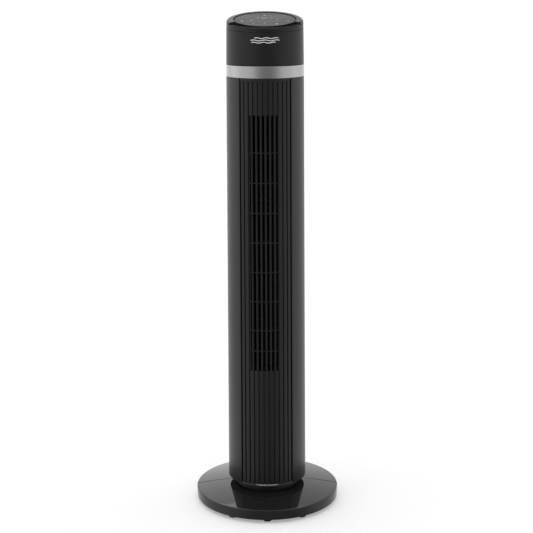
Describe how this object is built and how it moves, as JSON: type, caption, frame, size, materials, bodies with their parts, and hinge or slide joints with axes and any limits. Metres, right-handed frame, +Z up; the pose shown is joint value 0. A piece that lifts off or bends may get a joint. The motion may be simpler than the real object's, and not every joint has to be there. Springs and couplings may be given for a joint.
{
  "type": "oscillating tower fan",
  "caption": "Tall round oscillating tower fan: ribbed front with a narrow outlet, cross-flow blower, silver trim band, tilted control panel, domed split base.",
  "frame": {"origin": "on the floor, under the tower's vertical axis at the centre of the base", "axes": "+Z up along the tower, the outlet grille faces -Y, +X to the right seen from the front"},
  "size_m": [0.312, 0.312, 1.0618],
  "materials": {
    "base_gloss": "high gloss black moulding",
    "case_satin": "satin black moulding",
    "grille_satin": "satin black moulding",
    "band_silver": "brushed round the tower",
    "panel_grey": "fine satin film",
    "window_dark": "smoked gloss",
    "foot_rubber": "matte rubber",
    "gland_black": "matte",
    "ballast_steel": "zinc-grey steel",
    "screw_steel": "zinc plated",
    "screw_black": "black oxide",
    "drive_acetal": "natural acetal",
    "plain_steel": "turned steel",
    "frame_black": "plain moulding",
    "core_steel": "laminated steel",
    "copper_wire": "enamelled wire",
    "bush_bronze": "sintered bronze",
    "capacitor_white": "moulded",
    "board_green": "solder mask",
    "part_black": "moulded component"
  },
  "bodies": {
    "base": {"base_front": "base_gloss", "base_rear": "base_gloss", "base_collar": "base_gloss", "ballast_plate": "ballast_steel", "rubber_feet": "foot_rubber", "base_screws": "screw_steel", "cord_gland": "gland_black", "thrust_ring": "drive_acetal", "swing_gear_sector": "drive_acetal", "sector_screws": "screw_steel"},
    "tower": {"tower_floor": "case_satin", "pivot_retainer": "plain_steel", "retainer_screws": "screw_steel", "swing_motor": "plain_steel", "swing_motor_screws": "screw_steel", "capacitor": "capacitor_white", "terminal_block": "frame_black", "front_grille": "grille_satin", "rear_housing": "case_satin", "rear_grille": "case_satin", "handle_cup": "case_satin", "case_screws": "screw_black", "motor_deck": "frame_black", "motor_can": "plain_steel", "motor_cap": "plain_steel", "stator": "core_steel", "windings": "copper_wire", "motor_grommets": "foot_rubber", "motor_screws": "screw_steel", "scroll_wall": "frame_black", "stabiliser": "frame_black", "upper_deck": "frame_black", "bearing_holder": "foot_rubber", "bearing_bush": "bush_bronze", "bearing_plate": "plain_steel", "bearing_screws": "screw_steel", "trim_band": "band_silver", "head_frame": "frame_black", "head_shell": "case_satin", "top_cap": "case_satin", "control_panel": "panel_grey", "display_window": "window_dark", "display_module": "part_black", "control_board": "board_green", "board_screws": "screw_steel", "key_switches": "part_black", "power_board": "board_green", "wiring_loom": "part_black"},
    "blower": {"blower_wheel": "frame_black", "motor_shaft": "plain_steel", "rotor_core": "core_steel", "top_journal": "plain_steel", "hub_screw": "screw_steel"},
    "swing_pinion": {"swing_pinion": "drive_acetal", "swing_shaft": "plain_steel"},
    "key_power": {"key_power": "panel_grey"},
    "key_speed": {"key_speed": "panel_grey"},
    "key_mode": {"key_mode": "panel_grey"},
    "key_timer": {"key_timer": "panel_grey"},
    "key_swing": {"key_swing": "panel_grey"}
  },
  "joints": [
    {"name": "oscillation", "type": "hinge", "parent": "base", "child": "tower", "pos_m": [0, 0, 0.05], "axis": [0, 0, 1], "range_deg": [-35, 35]},
    {"name": "blower_spin", "type": "hinge", "parent": "tower", "child": "blower", "pos_m": [0.006, 0.012, 0.5], "axis": [0, 0, 1], "continuous": true},
    {"name": "pinion_spin", "type": "hinge", "parent": "tower", "child": "swing_pinion", "pos_m": [0, 0.039, 0.04], "axis": [0, 0, 1], "range_deg": [-190, 190]},
    {"name": "key_power_press", "type": "slide", "parent": "tower", "child": "key_power", "axis": [0, 0.1917, -0.9815], "range_m": [0, 0.0006], "stiffness_N_per_m": 500, "springref_m": -0.0002},
    {"name": "key_speed_press", "type": "slide", "parent": "tower", "child": "key_speed", "axis": [0, 0.1917, -0.9815], "range_m": [0, 0.0006], "stiffness_N_per_m": 500, "springref_m": -0.0002},
    {"name": "key_mode_press", "type": "slide", "parent": "tower", "child": "key_mode", "axis": [0, 0.1917, -0.9815], "range_m": [0, 0.0006], "stiffness_N_per_m": 500, "springref_m": -0.0002},
    {"name": "key_timer_press", "type": "slide", "parent": "tower", "child": "key_timer", "axis": [0, 0.1917, -0.9815], "range_m": [0, 0.0006], "stiffness_N_per_m": 500, "springref_m": -0.0002},
    {"name": "key_swing_press", "type": "slide", "parent": "tower", "child": "key_swing", "axis": [0, 0.1917, -0.9815], "range_m": [0, 0.0006], "stiffness_N_per_m": 500, "springref_m": -0.0002}
  ],
  "couplings": [
    {"joint": "pinion_spin", "follows": "oscillation", "ratio": -5.3333}
  ]
}
